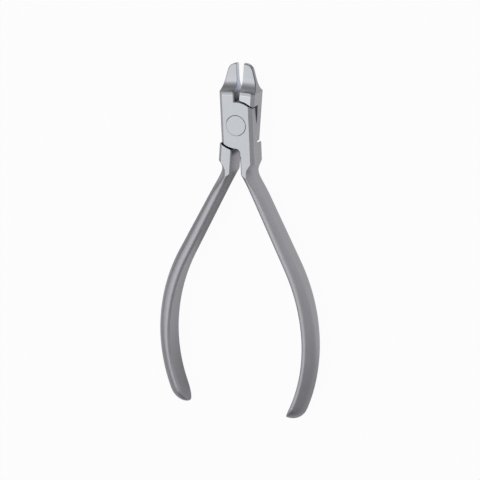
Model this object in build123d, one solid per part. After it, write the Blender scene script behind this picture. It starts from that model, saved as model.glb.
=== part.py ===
from build123d import *
import os
from math import acos, atan2, cos, exp, hypot, radians, sin, sqrt

# Orthodontic arch bending pliers, in millimetres and degrees.
# They lie on their back: jaws towards +Y, handles towards -Y, pivot axis along +Z.
# The origin is where the pivot axis meets the plane that the pliers lie on.
# Both halves come from one forging shape. The back half is the front half turned
# half a turn about the long axis, so each size below serves both.

# Joint block
joint_width = 12.3
joint_thickness = 10.2
long_edge_chamfer = 1.22
inner_edge_chamfer = 0.4
leaf_radius = 8.65
leaf_rim_chamfer = 0.2
shoulder_clearance = 0.6
leaf_running_gap = 0.05
leaf_corner_radius = 1.5
shoulder_corner_radius = 1.2
shoulder_tip_radius = 0.4
jaw_root_gap = 0.6
handle_root_gap = 2.1

# Jaws
shoulder_height = 12.4
shoulder_chamfer = 0.65
jaw_height = 22.0
blade_thickness = 2.15
blade_gap = 0.28
hollow_end_height = 17.0
relief_height = 1.6
dome_radius = 3.4
dome_offset = 0.4
blade_edge_chamfer = 0.3

# Pivot rivet
rivet_head_diameter = 7.42
rivet_head_depth = 2.2
rivet_shank_diameter = 4.6
rivet_tail_diameter = 6.4
rivet_tail_depth = 1.1
rivet_running_clearance = 0.04
rivet_rim_chamfer = 0.12

# Handles: the flat inner face runs straight from the joint, then bows in two arcs
splay_angle = 22.95
inner_face_start = (-0.62, -14.0)
straight_length = 43.4
palm_bow_radius = 71.4
palm_bow_angle = 23.1
tail_bow_radius = 62.3
tail_bow_angle = 30.0
neck_depth = 8.8
neck_thickness = 4.12
palm_depth = 9.5
palm_thickness = 5.6
tail_depth = 8.6
tail_thickness = 5.8
deepest_offset = 1.0
inner_bulge = 2.3
handle_end_length = 7.0
neck_start = 6.0
neck_end = 16.0
palm_end = 78.0

# How squarely the outside of the section curves: 2 is an ellipse, more is fuller, less is
# more pointed
swell_fullness = 1.5
neck_fullness = 2.8
tail_fullness = 1.45

# The handle swells towards the joint block, and the block's flats cut the swelling.
swell_start = 2.0
swell_end = 6.6
swell_depth = 2.05
swell_depth_run = 3.3
swell_thickness = 4.9
swell_thickness_run = 1.4
swell_origin = 2.73

# Pose: how far each half is turned open from the closed position
half_opening = 3.24

half_width = joint_width / 2
half_thickness = joint_thickness / 2
half_leaf_gap = leaf_running_gap / 2
shoulder_radius = leaf_radius + shoulder_clearance
jaw_root_x = -jaw_root_gap / 2
handle_root_x = handle_root_gap / 2
blade_face_x = -blade_gap / 2
handle_length = (
    straight_length
    + palm_bow_radius * radians(palm_bow_angle)
    + tail_bow_radius * radians(tail_bow_angle)
)
margin = 40.0


def rectangle_between(x_low, x_high, y_low, y_high):
    centre = Pos((x_low + x_high) / 2, (y_low + y_high) / 2)
    return centre * Rectangle(x_high - x_low, y_high - y_low)


def slab(outline, z_low, z_high):
    """The outline, drawn in the XY plane, as a plate between two heights."""
    return Pos(0, 0, z_low) * extrude(outline, z_high - z_low)


def chamfered_bar(x_low, x_high, low_chamfer, high_chamfer, y_low, y_high):
    """A bar along Y, as thick as the joint, with its four long edges cut at 45 degrees."""
    low_face = half_thickness - low_chamfer
    high_face = half_thickness - high_chamfer
    section = Polyline(
        (x_low + low_chamfer, -half_thickness),
        (x_high - high_chamfer, -half_thickness),
        (x_high, -high_face),
        (x_high, high_face),
        (x_high - high_chamfer, half_thickness),
        (x_low + low_chamfer, half_thickness),
        (x_low, low_face),
        (x_low, -low_face),
        close=True,
    )
    face = Plane.XZ.offset(-y_high) * make_face(section)
    return extrude(face, y_high - y_low)


def nearest_vertex(sketch, x, y):
    return sketch.vertices().sort_by_distance((x, y, 0))[0]


def meeting_height(radius, x):
    """Where a circle about the pivot meets the line at x."""
    return sqrt(radius**2 - x**2)


# Front leaf of the lap joint


def leaf():
    """Half the joint's thickness: a disc about the pivot that runs into the handle's root."""
    corner_y = -meeting_height(leaf_radius, handle_root_x)
    root_end = corner_y - 2 * leaf_corner_radius
    outline = Circle(leaf_radius) + rectangle_between(handle_root_x, margin, root_end, 0)
    outline = fillet(nearest_vertex(outline, handle_root_x, corner_y), leaf_corner_radius)
    plate = slab(outline, half_leaf_gap, half_thickness)
    rim = plate.faces().sort_by(Axis.Z)[-1].edges()
    plate = chamfer(rim, leaf_rim_chamfer)
    bar = chamfered_bar(
        -half_width, half_width, long_edge_chamfer, long_edge_chamfer, root_end, margin
    )
    return plate & bar


# Full thickness blocks above and below the leaf


def block_outline(x_low, x_high, y_low, y_high, corner_x):
    """A block cut back to a circle about the pivot, so the other half's leaf can turn."""
    side = 1 if y_high > 0 else -1
    outline = rectangle_between(x_low, x_high, y_low, y_high) - Circle(shoulder_radius)
    tip_x = x_low if x_high == corner_x else x_high
    corner_y = side * meeting_height(shoulder_radius, corner_x)
    tip_y = side * meeting_height(shoulder_radius, tip_x)
    outline = fillet(nearest_vertex(outline, corner_x, corner_y), shoulder_corner_radius)
    return fillet(nearest_vertex(outline, tip_x, tip_y), shoulder_tip_radius)


def block(x_low, x_high, y_low, y_high, corner_x, bar):
    """Solid through its own leaf's layer, and cut to the circle in the other leaf's layer."""
    near = slab(rectangle_between(x_low, x_high, y_low, y_high), half_leaf_gap, half_thickness)
    cut_back = block_outline(x_low, x_high, y_low, y_high, corner_x)
    far = slab(cut_back, -half_thickness, half_leaf_gap)
    return bar & (near + far)


def jaw_root():
    bar = chamfered_bar(
        -half_width, jaw_root_x, long_edge_chamfer, inner_edge_chamfer, 0, shoulder_height
    )
    low = meeting_height(leaf_radius, half_width) - 1
    return block(-half_width, jaw_root_x, low, shoulder_height, jaw_root_x, bar)


def handle_root_bar():
    return chamfered_bar(
        handle_root_x, half_width, inner_edge_chamfer, long_edge_chamfer, -margin, 0
    )


def handle_root():
    high = -meeting_height(leaf_radius, half_width) + 1
    root = block(
        handle_root_x, half_width, -margin, high, handle_root_x, handle_root_bar()
    )
    return root & handle_layer(-margin, swell_start)


# Jaw blade


def dome_tangent(centre_x, centre_y):
    """The point of the dome where a straight flank from the shoulder's corner meets it."""
    across = -half_width - centre_x
    down = shoulder_height - centre_y
    distance = hypot(across, down)
    bearing = atan2(down, across) - acos(dome_radius / distance)
    return (centre_x + dome_radius * cos(bearing), centre_y + dome_radius * sin(bearing))


def blade_outline():
    """The jaw from the front: straight flank, domed end and flat bending face."""
    centre_x = blade_face_x - dome_offset
    centre_y = jaw_height - dome_radius
    tangent = dome_tangent(centre_x, centre_y)
    top = (centre_x, jaw_height)
    middle_angle = (atan2(tangent[1] - centre_y, tangent[0] - centre_x) + radians(90)) / 2
    middle = (
        centre_x + dome_radius * cos(middle_angle),
        centre_y + dome_radius * sin(middle_angle),
    )
    root_y = shoulder_height - shoulder_chamfer
    edges = Line((-half_width, shoulder_height), tangent)
    edges += ThreePointArc(tangent, middle, top)
    edges += Polyline(
        top,
        (blade_face_x, jaw_height),
        (blade_face_x, shoulder_height + relief_height),
        (jaw_root_x, shoulder_height),
        (jaw_root_x, root_y),
        (-half_width, root_y),
        (-half_width, shoulder_height),
    )
    return make_face(edges)


def hollow_profile():
    """The jaw from the side: a thin blade, ground hollow on both faces down to the shoulder."""
    half_blade = blade_thickness / 2
    edge = half_thickness - shoulder_chamfer
    rise = hollow_end_height - shoulder_height
    depth = edge - half_blade
    grind_radius = (rise**2 + depth**2) / (2 * depth)
    half_turn = acos(1 - depth / grind_radius) / 2
    mid_y = hollow_end_height - grind_radius * sin(half_turn)
    mid_z = half_blade + grind_radius * (1 - cos(half_turn))
    root_y = shoulder_height - shoulder_chamfer
    edges = Line((root_y, -half_thickness), (root_y, half_thickness))
    for side in (1, -1):
        edges += Polyline(
            (root_y, side * half_thickness),
            (shoulder_height, side * edge),
        )
        edges += ThreePointArc(
            (shoulder_height, side * edge),
            (mid_y, side * mid_z),
            (hollow_end_height, side * half_blade),
        )
        edges += Line((hollow_end_height, side * half_blade), (jaw_height + 1, side * half_blade))
    edges += Line((jaw_height + 1, half_blade), (jaw_height + 1, -half_blade))
    return Plane.YZ.offset(-margin) * make_face(edges)


def is_outer_edge(edge):
    """True for the edges round the dome and down the flank, and for no others."""
    size = edge.bounding_box()
    on_outline = edge.center().Y > shoulder_height and edge.center().X < 2 * blade_face_x
    across_hollow = abs(size.max.Y - size.min.Y) < dome_offset
    through_blade = size.min.Z < 0 < size.max.Z
    return on_outline and not across_hollow and not through_blade


def blade():
    front_view = slab(blade_outline(), -half_thickness, half_thickness)
    side_view = extrude(hollow_profile(), 2 * margin)
    long_edges = chamfered_bar(
        -half_width, half_width, long_edge_chamfer, long_edge_chamfer, 0, margin
    )
    sharp = front_view & side_view & long_edges
    outer_edges = [edge for edge in sharp.edges() if is_outer_edge(edge)]
    return chamfer(outer_edges, blade_edge_chamfer)


# Handle


def smooth_step(value, low, high):
    share = min(max((value - low) / (high - low), 0.0), 1.0)
    return share * share * (3 - 2 * share)


def between(start, end, share):
    return start + (end - start) * share


def inner_face_path():
    """The flat inner face seen from the front: straight, then two arcs that bow inwards."""
    heading = (sin(radians(splay_angle)), -cos(radians(splay_angle)))
    end = (
        inner_face_start[0] + straight_length * heading[0],
        inner_face_start[1] + straight_length * heading[1],
    )
    straight = Line(inner_face_start, end)
    palm = JernArc(end, heading, palm_bow_radius, -palm_bow_angle)
    tail = JernArc(palm @ 1, palm % 1, tail_bow_radius, -tail_bow_angle)
    return straight, palm, tail


def inner_side():
    """Everything on the inner side of the flat inner face, run on past both its ends."""
    straight, palm, tail = inner_face_path()
    above = straight @ 0 - straight % 0 * margin
    below = tail @ 1 + tail % 1 * margin
    outline = Line(above, straight @ 0) + straight + palm + tail + Line(tail @ 1, below)
    outline += Polyline(below, (-2 * margin, below.Y), (-2 * margin, above.Y), above)
    return slab(make_face(outline), -joint_thickness, joint_thickness)


def handle_plane(distance):
    """The plane across the handle, with x pointing outwards and y along the pivot axis."""
    for piece in inner_face_path():
        if distance <= piece.length:
            break
        distance -= piece.length
    share = min(distance / piece.length, 1.0)
    along = piece % share
    outward = Vector(-along.Y, along.X, 0)
    return Plane(origin=piece @ share, x_dir=outward, z_dir=along)


def growth(distance):
    """From 0 at the neck to 1 at the palm: easing in, then steady, then easing out."""
    ease_in = neck_end - neck_start
    ease_out = palm_end - straight_length
    rate = 1 / (ease_in / 2 + straight_length - neck_end + ease_out / 2)
    eased_in = max(min(distance, neck_end) - neck_start, 0.0) ** 2 / (2 * ease_in)
    steady = max(min(distance, straight_length) - neck_end, 0.0)
    left = max(palm_end - max(distance, straight_length), 0.0)
    eased_out = (ease_out**2 - left**2) / (2 * ease_out)
    return rate * (eased_in + steady + eased_out)


def handle_size(distance):
    """Half depth, thickness and fullness of the section at a distance along the handle."""
    to_palm = growth(distance)
    to_tail = smooth_step(distance, palm_end, handle_length)
    depth = between(between(neck_depth, palm_depth, to_palm), tail_depth, to_tail)
    thickness = between(between(neck_thickness, palm_thickness, to_palm), tail_thickness, to_tail)
    swelling = distance - swell_origin
    depth += 2 * swell_depth * exp(-swelling / swell_depth_run)
    thickness += swell_thickness * exp(-swelling / swell_thickness_run)
    fullness = between(swell_fullness, neck_fullness, smooth_step(distance, neck_start, neck_end))
    fullness = between(fullness, tail_fullness, smooth_step(distance, neck_end, handle_length))
    return depth / 2, thickness, fullness


def end_closing(distance):
    """One along the handle, falling to nothing round the end."""
    ending = max(distance - (handle_length - handle_end_length), 0.0) / handle_end_length
    return sqrt(max(1 - ending**2, 0.0))


def section_points(distance):
    """A closed row of points: rounded outside, and an ellipse that the inner face cuts off."""
    closing = end_closing(distance)
    half_depth, thickness, fullness = handle_size(distance)
    half_depth *= closing
    deepest = deepest_offset * closing
    outside = thickness * closing - deepest
    bulge = inner_bulge * closing
    points = []
    for angle in (180, 205, 235):
        points.append((deepest + bulge * cos(radians(angle)), half_depth * sin(radians(angle))))
    for angle in (-90, -68, -46, -23, 0, 23, 46, 68):
        across = cos(radians(angle)) ** (2 / fullness)
        deep = abs(sin(radians(angle))) ** (2 / fullness)
        points.append((deepest + outside * across, half_depth * (deep if angle > 0 else -deep)))
    for angle in (90, 125, 155):
        points.append((deepest + bulge * cos(radians(angle)), half_depth * sin(radians(angle))))
    return points


def shares_round(points):
    """How far round its closed curve each point lies, from 0 to 1."""
    lengths = [0.0]
    for start, end in zip(points, points[1:] + points[:1]):
        lengths.append(lengths[-1] + hypot(end[0] - start[0], end[1] - start[1]))
    return [length / lengths[-1] for length in lengths]


def handle_section(distance, shares, seams):
    """The section's face. All sections share their shares, which keeps the lofted skin simple."""
    points = [Vector(*point) for point in section_points(distance)]
    curve = Edge.make_spline(points, periodic=True, parameters=shares)
    if not seams:
        return handle_plane(distance) * Face(Wire([curve]))
    cuts = [0.0] + [shares[seam] for seam in seams] + [1.0]
    strips = [curve.trim(start, end) for start, end in zip(cuts, cuts[1:])]
    return handle_plane(distance) * Face(Wire(strips))


def handle_layer(start, end):
    """Everything between two distances along the handle's straight stretch."""
    plane = handle_plane(0)
    return plane * Pos(0, 0, (start + end) / 2) * Box(2 * margin, 2 * margin, end - start)


def spread(start, end, steps):
    """Evenly spaced distances, both ends included."""
    return [between(start, end, step / steps) for step in range(steps + 1)]


def end_stations():
    """Round the closing end, at these degrees of its rounding."""
    rounding = handle_length - handle_end_length
    turns = (0, 10, 20, 30, 40, 50, 60, 70, 78, 82)
    return [rounding + handle_end_length * sin(radians(turn)) for turn in turns]


def handle():
    """Neck, tapered shaft, bowed grip and end, joined, then cut by the flat faces.

    The straight shaft's skin is parted into long strips at the seams, points of its section.
    """
    shaft_seams = (3, 5, 9, 11)
    shares = shares_round(section_points(palm_end))
    neck = spread(swell_start, neck_end, 18)
    shaft = spread(neck_end, straight_length, 1)
    bows = spread(straight_length, handle_length - handle_end_length, 24)
    skin = loft([handle_section(distance, shares, shaft_seams) for distance in shaft])
    for stations in (neck, bows, end_stations()):
        skin += loft([handle_section(distance, shares, ()) for distance in stations])
    flats = handle_layer(swell_start - 1, swell_end) - handle_root_bar()
    return skin - inner_side() - flats


# The two halves and the rivet


def forging():
    """One half in its closed position, with the middle of the joint at height zero."""
    return leaf() + jaw_root() + handle_root() + blade() + handle()


def cylinder_between(diameter, z_low, z_high):
    return Pos(0, 0, z_low) * extrude(Circle(diameter / 2), z_high - z_low)


def front_half():
    """Front leaf, left jaw and right handle, bored for the rivet's head and shank."""
    under_head = half_thickness - rivet_head_depth
    clearance = 2 * rivet_running_clearance
    head_bore = cylinder_between(
        rivet_head_diameter + clearance, under_head - rivet_running_clearance, half_thickness
    )
    shank_bore = cylinder_between(rivet_shank_diameter + clearance, 0, half_thickness)
    rim = Cone(
        rivet_head_diameter / 2 + rivet_running_clearance,
        rivet_head_diameter / 2 + rivet_running_clearance + rivet_rim_chamfer,
        rivet_rim_chamfer,
        align=(Align.CENTER, Align.CENTER, Align.MAX),
    )
    return forging() - head_bore - shank_bore - Pos(0, 0, half_thickness) * rim


def tail_cone():
    cone = Cone(
        rivet_tail_diameter / 2,
        rivet_shank_diameter / 2,
        rivet_tail_depth,
        align=(Align.CENTER, Align.CENTER, Align.MIN),
    )
    return Pos(0, 0, -half_thickness) * cone


def back_half():
    """The same forging turned over, with a countersunk hole that the rivet fills."""
    turned = forging().rotate(Axis.Y, 180)
    hole = cylinder_between(rivet_shank_diameter, -half_thickness, half_thickness)
    return turned - hole - tail_cone()


def pivot_rivet():
    """A stepped rivet: flush head in the front leaf, tail spread into the back leaf."""
    head = cylinder_between(
        rivet_head_diameter, half_thickness - rivet_head_depth, half_thickness
    )
    head = chamfer(head.edges().sort_by(Axis.Z)[-1], rivet_rim_chamfer)
    shank = cylinder_between(rivet_shank_diameter, -half_thickness, half_thickness - 1)
    return head + shank + tail_cone()


def place(shape, turn):
    return Pos(0, 0, half_thickness) * Rot(0, 0, turn) * shape


os.makedirs("parts", exist_ok=True)
export_step(place(front_half(), half_opening), "parts/front_half.step")
export_step(place(back_half(), -half_opening), "parts/back_half.step")
export_step(place(pivot_rivet(), -half_opening), "parts/pivot_rivet.step")
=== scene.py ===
import math

import bpy
from mathutils import Matrix, Vector

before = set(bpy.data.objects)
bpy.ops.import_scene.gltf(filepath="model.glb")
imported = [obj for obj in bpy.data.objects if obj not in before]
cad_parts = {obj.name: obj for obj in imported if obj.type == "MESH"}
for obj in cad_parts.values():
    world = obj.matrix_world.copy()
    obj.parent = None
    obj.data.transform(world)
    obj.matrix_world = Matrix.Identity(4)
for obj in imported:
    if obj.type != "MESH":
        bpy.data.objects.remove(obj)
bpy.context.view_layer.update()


# The camera
# The pliers lie on their back and are looked at from almost straight above, a little from
# their right and from beyond the jaws, with a long lens. Angles and distance are the photograph's.
camera_to_the_right = math.radians(20.856)
camera_towards_jaws = math.radians(17.226)
camera_roll = math.radians(0.583)
camera_place = Vector((0.17941, 0.11171, 0.47563))
focal_length_px = 1417.73
image_width_px = 480
sensor_width_mm = 36
nearest_seen = 0.01

back = Vector((
    math.sin(camera_to_the_right) * math.cos(camera_towards_jaws),
    math.sin(camera_towards_jaws),
    math.cos(camera_to_the_right) * math.cos(camera_towards_jaws),
))
level = Vector((0, 1, 0)).cross(back).normalized()
upright = back.cross(level)
right = math.cos(camera_roll) * level + math.sin(camera_roll) * upright
up = math.cos(camera_roll) * upright - math.sin(camera_roll) * level
camera_turn = Matrix((right, up, back)).transposed().to_4x4()

lens = bpy.data.cameras.new("camera")
lens.sensor_fit = "HORIZONTAL"
lens.sensor_width = sensor_width_mm
lens.lens = sensor_width_mm * focal_length_px / image_width_px
lens.clip_start = nearest_seen
camera = bpy.data.objects.new("camera", lens)
camera.matrix_world = Matrix.Translation(camera_place) @ camera_turn
bpy.context.collection.objects.link(camera)
bpy.context.scene.camera = camera
bpy.context.scene.view_settings.view_transform = "Standard"


# The room
# A plain white sweep, and two soft boxes at the left: a long one high up and a smaller one low by the
# handles. The room is brighter beyond the jaws, but dim near the floor there. Mirrored in the steel,
# the sweep has painted shade between the handles and below their ends, so it shows darker there.
class Wire:
    """A socket's value inside a node tree, for sums written as Python."""

    def __init__(self, nodes, socket):
        self.nodes = nodes
        self.socket = socket

    def sum(self, operation, first, second):
        return self.nodes.add("ShaderNodeMath", {"operation": operation}, {0: first, 1: second})

    def __add__(self, other):
        return self.sum("ADD", self, other)

    def __radd__(self, other):
        return self.sum("ADD", other, self)

    def __sub__(self, other):
        return self.sum("SUBTRACT", self, other)

    def __rsub__(self, other):
        return self.sum("SUBTRACT", other, self)

    def __mul__(self, other):
        return self.sum("MULTIPLY", self, other)

    def __rmul__(self, other):
        return self.sum("MULTIPLY", other, self)


class Nodes:
    """A node tree that is being filled, with one method for every kind of node."""

    def __init__(self, owner):
        owner.use_nodes = True
        self.tree = owner.node_tree
        self.tree.nodes.clear()

    def add(self, kind, settings=None, sockets=None, output=0):
        node = self.tree.nodes.new(kind)
        for name, value in (settings or {}).items():
            setattr(node, name, value)
        for name, value in (sockets or {}).items():
            if isinstance(value, Wire):
                self.tree.links.new(value.socket, node.inputs[name])
            else:
                node.inputs[name].default_value = value
        return Wire(self, node.outputs[output]) if node.outputs else None


def vector_part(nodes, vector, axis):
    return nodes.add("ShaderNodeSeparateXYZ", sockets={0: vector}, output=axis)


def ramp(nodes, value, none, full):
    """0 at the value none and 1 at the value full, which may be the lower of the two."""
    return nodes.add(
        "ShaderNodeMapRange",
        {"clamp": True, "interpolation_type": "SMOOTHSTEP"},
        {"Value": value, "From Min": none, "From Max": full},
    )


def seen_by(nodes, ray):
    """1 where this kind of ray finds the surface: Camera, Glossy or Transmission."""
    return nodes.add("ShaderNodeLightPath", output="Is " + ray + " Ray")


white = (1, 1, 1, 1)
floor_colour = (0.7, 0.7, 0.7, 1)
floor_half_size = 3.0
floor_drop = 0.0001
white_share = 0.95
mirrored_in_shade = 0.10
mirrored_in_light = 0.66
# Painted shade on the sweep, seen only in the steel's reflections, between the handles and below their
# ends.
painted_shade_side = (0.008, 0.0)
painted_shade_top = (-0.018, -0.022)
painted_shade_deep_part = (-0.062, -0.045)
painted_shade_pale_depth = 0.4
sweep_past_handles = (-0.11, -0.08)

floor_paint = bpy.data.materials.new("white_sweep")
sweep = Nodes(floor_paint)
spot = sweep.add("ShaderNodeTexCoord", output="Object")
spot_along = vector_part(sweep, spot, "Y")
# Where the painted shade lies on the sweep, and how deep it is.
painted_shade_depth = ramp(sweep, spot_along, *painted_shade_deep_part)
painted_shade_depth = painted_shade_pale_depth + (1 - painted_shade_pale_depth) * painted_shade_depth
in_painted_shade = ramp(sweep, vector_part(sweep, spot, "X"), *painted_shade_side) * ramp(sweep, spot_along, *painted_shade_top)
lit = (1 - in_painted_shade * painted_shade_depth) * ramp(sweep, spot_along, *sweep_past_handles)
mirrored = mirrored_in_shade + (mirrored_in_light - mirrored_in_shade) * lit
seen = seen_by(sweep, "Camera") + mirrored * seen_by(sweep, "Glossy") + seen_by(sweep, "Transmission")
matt = sweep.add("ShaderNodeBsdfDiffuse", sockets={"Color": floor_colour})
glowing = sweep.add("ShaderNodeEmission", sockets={"Color": white, "Strength": 1.0})
blended = sweep.add("ShaderNodeMixShader", sockets={0: seen * white_share, 1: matt, 2: glowing})
sweep.add("ShaderNodeOutputMaterial", sockets={"Surface": blended})

corners = [
    (x * floor_half_size, y * floor_half_size, -floor_drop)
    for x, y in ((-1, -1), (1, -1), (1, 1), (-1, 1))
]
floor_mesh = bpy.data.meshes.new("floor")
floor_mesh.from_pydata(corners, [], [(0, 1, 2, 3)])
floor_mesh.materials.append(floor_paint)
floor = bpy.data.objects.new("floor", floor_mesh)
bpy.context.collection.objects.link(floor)


def softbox(name, place, width, length, power):
    """A soft lamp that faces the pliers, as wide as width along the slope and as long along Y."""
    lamp = bpy.data.lights.new(name, "AREA")
    lamp.shape = "RECTANGLE"
    lamp.size = length
    lamp.size_y = width
    lamp.energy = power
    stand = bpy.data.objects.new(name, lamp)
    stand.location = place
    stand.rotation_euler = place.to_track_quat("Z", "Y").to_euler()
    bpy.context.collection.objects.link(stand)


high_box_place = Vector((-0.41, -0.05, 0.845))
high_box_width = 0.70
high_box_length = 1.3
high_box_power = 2.38
low_box_place = Vector((-0.78, -0.44, 0.42))
low_box_width = 0.55
low_box_power = 0.66

softbox("high_box", high_box_place, high_box_width, high_box_length, high_box_power)
softbox("low_box", low_box_place, low_box_width, low_box_width, low_box_power)

room_brightness = 0.48
more_to_the_right = 0.14
more_beyond_jaws = 0.30
more_overhead = 0.12
low_beyond_jaws = (0.72, 0.88)
low_dimming = 0.5
least_brightness = 0.08

room = bpy.data.worlds.new("room")
bpy.context.scene.world = room
walls = Nodes(room)
direction = walls.add("ShaderNodeTexCoord", output="Generated")
beyond_jaws = vector_part(walls, direction, "Y")
brightness = room_brightness + more_to_the_right * vector_part(walls, direction, "X")
brightness = brightness + more_beyond_jaws * beyond_jaws
brightness = brightness + more_overhead * vector_part(walls, direction, "Z")
brightness = brightness * (1 - low_dimming * ramp(walls, beyond_jaws, *low_beyond_jaws))
brightness = walls.add(
    "ShaderNodeMath", {"operation": "MAXIMUM"}, {0: brightness, 1: least_brightness}
)
dim_walls = walls.add("ShaderNodeBackground", sockets={"Color": white, "Strength": brightness})
white_walls = walls.add("ShaderNodeBackground", sockets={"Color": white, "Strength": 1.0})
shown = seen_by(walls, "Camera") + seen_by(walls, "Transmission")
around = walls.add("ShaderNodeMixShader", sockets={0: shown, 1: dim_walls, 2: white_walls})
walls.add("ShaderNodeOutputWorld", sockets={"Surface": around})


# The front half
# One stainless forging: the front leaf, the left jaw and the right handle. It is blasted to a
# fine matt all over, then the joint's flats are rubbed on a belt and the jaws ground hollow.
# Places are metres from the rivet's axis, along the half's own middle line or across it.
half_opening = math.radians(3.24)

blasted_colour = (0.385, 0.385, 0.415, 1)
rubbed_colour = (0.475, 0.49, 0.515, 1)
bare_colour = (0.74, 0.745, 0.76, 1)
# Painted shade for the root of the jaw's hollow.
hollow_root_painted_shade_colour = (0.25, 0.25, 0.27, 1)
# A painted highlight for the jaw's face that meets the other jaw.
jaw_painted_highlight_colour = (0.66, 0.69, 0.80, 1)
# Painted shade for the jaws' right chamfers and inner edges.
chamfer_painted_shade_colour = (0.16, 0.16, 0.18, 1)
# Painted shade for narrow gaps and the slot's root.
gap_painted_shade_colour = (0.045, 0.043, 0.042, 1)

plain_tint = 0.80
blotch_tint = 0.12
grain_tint = 0.28
streak_tint = 0.16
# A painted highlight line and a band of painted shade beside the hollow.
painted_highlight_gain = 0.22
painted_shade_loss = 0.44
inner_edge_shade_strength = 0.7
handle_rubbing = 0.1

blasted_roughness = 0.36
rubbed_roughness = 0.34
blotch_roughness = 0.08
grain_roughness = 0.10
edge_polish = 0.06

grain_size = 0.00028
blotch_size = 0.0045
blotch_detail = 3.0
streak_size = Vector((0.0006, 0.00012, 0.0006))
noise_middle = 0.5
grain_height = 0.00001
streak_height = 0.000003
pit_strength = 0.4

edge_softness = 0.00013
edge_bend = (0.008, 0.10)
wear_from_grain = 0.3
wear_patches = (0.50, 0.80)
gap_shade_depth = 0.0015
narrow_gap = (0.75, 0.45)
clear_of_underside = (-0.6, -0.3)

flat_enough_to_rub = (0.8, 0.99)
flat_enough_for_painted_band = (0.97, 0.995)
square_to_the_side = (0.90, 0.97)
handle_to_joint = (-0.021, -0.019)
block_to_jaw = (0.0118, 0.0122)
into_hollow_root = (0.0152, 0.0122)
into_painted_highlight_line = (0.01085, 0.0112)
into_painted_shade_band = (0.0112, 0.01132)
jaw_painted_highlight_reach = (0.0017, 0.0015)
chamfer_off_flat = (0.45, 0.60)
chamfer_off_side = (0.92, 0.80)
inner_edge_upward = (0.6, 0.8)
inner_edge_left = (-0.00050, -0.00035)
inner_edge_right = (0.0, -0.0001)
block_start = (0.006, 0.0065)
block_end = (0.0155, 0.0135)

slot_wall_reach = (0.0048, 0.0044)
slot_root_low_end = (-0.0123, -0.0105)
slot_root_high_end = (0.0, -0.002)

rim_inner_side = (0.00353, 0.003574)
rim_outer_side = (0.00397, 0.003926)
rim_closed_side = Vector((-0.77, -0.64, 0))
rim_closing = (0.0, 0.003375)
rim_upward = (0.2, 0.4)
straight_up = (0, 0, 1, 1)


def noise(nodes, place, size, detail=2.0):
    """A soft random pattern whose patches are about one size across, from 0 to 1."""
    return nodes.add(
        "ShaderNodeTexNoise",
        {"noise_dimensions": "3D"},
        {"Vector": place, "Scale": 1 / size, "Detail": detail, "Roughness": 0.55},
    )


def blend(nodes, share, first, second):
    """The first colour where the share is 0, and the second where it is 1."""
    return nodes.add(
        "ShaderNodeMix", {"data_type": "RGBA"}, {0: share, 6: first, 7: second}, output=2
    )


def reach(nodes, vector, direction):
    """How far the vector reaches in the direction."""
    return nodes.add(
        "ShaderNodeVectorMath", {"operation": "DOT_PRODUCT"}, {0: vector, 1: direction}, "Value"
    )


def either_way(nodes, value):
    """The value without its sign."""
    return nodes.add("ShaderNodeMath", {"operation": "ABSOLUTE"}, {0: value})


def closed_rim(nodes, place, upward):
    """1 on the part of the rivet's rim that grinding closed up, so that no line shows."""
    level_place = nodes.add(
        "ShaderNodeVectorMath", {"operation": "MULTIPLY"}, {0: place, 1: (1, 1, 0)}
    )
    radius = nodes.add("ShaderNodeVectorMath", {"operation": "LENGTH"}, {0: level_place}, "Value")
    on_rim = ramp(nodes, radius, *rim_inner_side) * ramp(nodes, radius, *rim_outer_side)
    on_closed_side = ramp(nodes, reach(nodes, place, rim_closed_side), *rim_closing)
    return on_rim * on_closed_side * ramp(nodes, upward, *rim_upward)


def slot_root(nodes, along, off_centre, sideways):
    """1 on the walls of the slot below the joint, close to the leaf, where little light gets in."""
    wall = ramp(nodes, sideways, *square_to_the_side) * ramp(nodes, off_centre, *slot_wall_reach)
    near_leaf = ramp(nodes, along, *slot_root_low_end) * ramp(nodes, along, *slot_root_high_end)
    return wall * near_leaf


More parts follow.
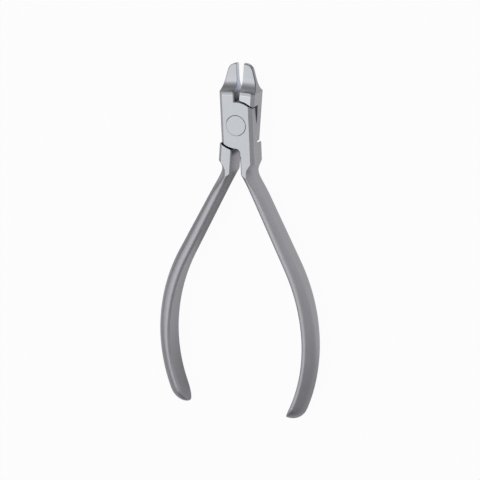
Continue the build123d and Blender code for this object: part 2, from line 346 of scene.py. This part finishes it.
def satin_steel(name, opening=0.0, block_brightening=0.0, root_painted_shade_strength=1.0):
    """Blasted stainless steel: fine grain, flats rubbed brighter, edges worn bare, painted shade in
    gaps.

    The piece is turned open by opening, its jaw block's colour is brighter than the rest by
    block_brightening, and the root of its hollow gets painted shade where root_painted_shade_strength is
    1.
    """
    material = bpy.data.materials.new(name)
    nodes = Nodes(material)
    place = nodes.add("ShaderNodeTexCoord", output="Object")
    along = reach(nodes, place, Vector((-math.sin(opening), math.cos(opening), 0)))
    across = reach(nodes, place, Vector((math.cos(opening), math.sin(opening), 0)))
    off_centre = either_way(nodes, across)
    facing = nodes.add("ShaderNodeNewGeometry", output="Normal")
    rightward = vector_part(nodes, facing, "X")
    upward = vector_part(nodes, facing, "Z")
    sideways = either_way(nodes, rightward)
    flatness = either_way(nodes, upward)

    # The blasted grain, the blotches of handling and the grinding wheel's streaks.
    grain = noise(nodes, place, grain_size)
    blotch = noise(nodes, place, blotch_size, blotch_detail)
    ground = nodes.add("ShaderNodeVectorMath", {"operation": "DIVIDE"}, {0: place, 1: streak_size})
    streak = noise(nodes, ground, 1.0)

    # The flats of the joint are rubbed, and beside the hollow they end in a painted highlight line and a
    # band of painted shade.
    on_jaw = ramp(nodes, along, *block_to_jaw)
    rubbing = handle_rubbing + (1 - handle_rubbing) * ramp(nodes, along, *handle_to_joint)
    rubbed = rubbing * ramp(nodes, flatness, *flat_enough_to_rub)
    block_top = (1 - on_jaw) * ramp(nodes, flatness, *flat_enough_for_painted_band)
    painted_highlight_line = block_top * ramp(nodes, along, *into_painted_highlight_line)
    painted_shade_band = block_top * ramp(nodes, along, *into_painted_shade_band)

    # The jaw has painted shade at its hollow's root, a painted highlight on the face that meets the
    # other jaw, and painted shade on its thin chamfers and inner edge.
    in_root_painted_shade = root_painted_shade_strength * on_jaw * ramp(nodes, along, *into_hollow_root)
    jaw_painted_highlight = on_jaw * ramp(nodes, sideways, *square_to_the_side)
    jaw_painted_highlight = jaw_painted_highlight * ramp(nodes, off_centre, *jaw_painted_highlight_reach)
    right_chamfer_painted_shade = ramp(nodes, rightward, *chamfer_off_flat) * ramp(nodes, rightward, *chamfer_off_side)
    right_chamfer_painted_shade = on_jaw * right_chamfer_painted_shade
    inner_edge_painted_shade = ramp(nodes, across, *inner_edge_left) * ramp(nodes, across, *inner_edge_right)
    inner_edge_painted_shade = on_jaw * ramp(nodes, upward, *inner_edge_upward) * inner_edge_painted_shade

    # Edges are softened and worn bare in patches; narrow gaps and the slot's root get painted shade.
    rounded = nodes.add("ShaderNodeBevel", {"samples": 4}, {"Radius": edge_softness})
    edge = ramp(nodes, 1 - reach(nodes, facing, rounded), *edge_bend)
    wear = edge * ramp(nodes, blotch + wear_from_grain * grain, *wear_patches)
    openness = nodes.add(
        "ShaderNodeAmbientOcclusion", {"samples": 8}, {"Distance": gap_shade_depth}, "AO"
    )
    painted_gap_shade = ramp(nodes, openness, *narrow_gap) * ramp(nodes, upward, *clear_of_underside)
    painted_gap_shade = painted_gap_shade + slot_root(nodes, along, off_centre, sideways)

    tint = plain_tint + blotch_tint * blotch + grain_tint * grain
    tint = tint + streak_tint * on_jaw * (streak - noise_middle)
    # The jaw block's colour is made brighter.
    if block_brightening:
        tint = tint + block_brightening * ramp(nodes, along, *block_start) * ramp(nodes, along, *block_end)
    # The painted highlight line and the band of painted shade beside the hollow.
    tint = tint * (1 + painted_highlight_gain * painted_highlight_line - painted_shade_loss * painted_shade_band)

    colour = blend(nodes, rubbed, blasted_colour, rubbed_colour)
    # Painted shade in the hollow's root.
    colour = blend(nodes, in_root_painted_shade, colour, hollow_root_painted_shade_colour)
    # A painted highlight on the jaw's face.
    colour = blend(nodes, jaw_painted_highlight, colour, jaw_painted_highlight_colour)
    # Painted shade on the jaw's right chamfer and inner edge.
    colour = blend(nodes, right_chamfer_painted_shade + inner_edge_shade_strength * inner_edge_painted_shade, colour, chamfer_painted_shade_colour)
    colour = nodes.add("ShaderNodeVectorMath", {"operation": "SCALE"}, {0: colour, "Scale": tint})
    colour = blend(nodes, wear * (1 - right_chamfer_painted_shade), colour, bare_colour)
    # Painted shade in narrow gaps and in the slot's root.
    colour = blend(nodes, painted_gap_shade, colour, gap_painted_shade_colour)

    roughness = blasted_roughness - (blasted_roughness - rubbed_roughness) * rubbed
    roughness = roughness + blotch_roughness * (blotch - noise_middle)
    roughness = roughness + grain_roughness * (grain - noise_middle) - edge_polish * edge

    smoothed = blend(nodes, closed_rim(nodes, place, upward), rounded, straight_up)
    relief = grain_height * grain + streak_height * on_jaw * streak
    pitted = nodes.add(
        "ShaderNodeBump",
        sockets={"Strength": pit_strength, "Distance": 1.0, "Height": relief, "Normal": smoothed},
    )
    steel = nodes.add(
        "ShaderNodeBsdfPrincipled",
        sockets={"Base Color": colour, "Metallic": 1.0, "Roughness": roughness, "Normal": pitted},
    )
    nodes.add("ShaderNodeOutputMaterial", sockets={"Surface": steel})
    return material


def finish_node(node, material):
    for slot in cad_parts[node].material_slots:
        slot.material = material


finish_node("front_half", satin_steel("front_steel_satin", half_opening))


# The back half
# The same forging turned over: the back leaf, the right jaw and the left handle. It is blasted in the
# same way, but its jaw block's colour is brighter, and its hollow's root has less painted shade.
back_block_brightening = 0.12
back_root_painted_shade_strength = 0.5

back_steel = satin_steel("back_steel_satin", -half_opening, back_block_brightening, back_root_painted_shade_strength)
finish_node("back_half", back_steel)


# The pivot rivet
# A steel rivet whose head is set flush in the front leaf and ground with it.
# Only its rim shows, as a thin dark ring that fades at the lower left.
finish_node("pivot_rivet", satin_steel("rivet_steel_satin"))
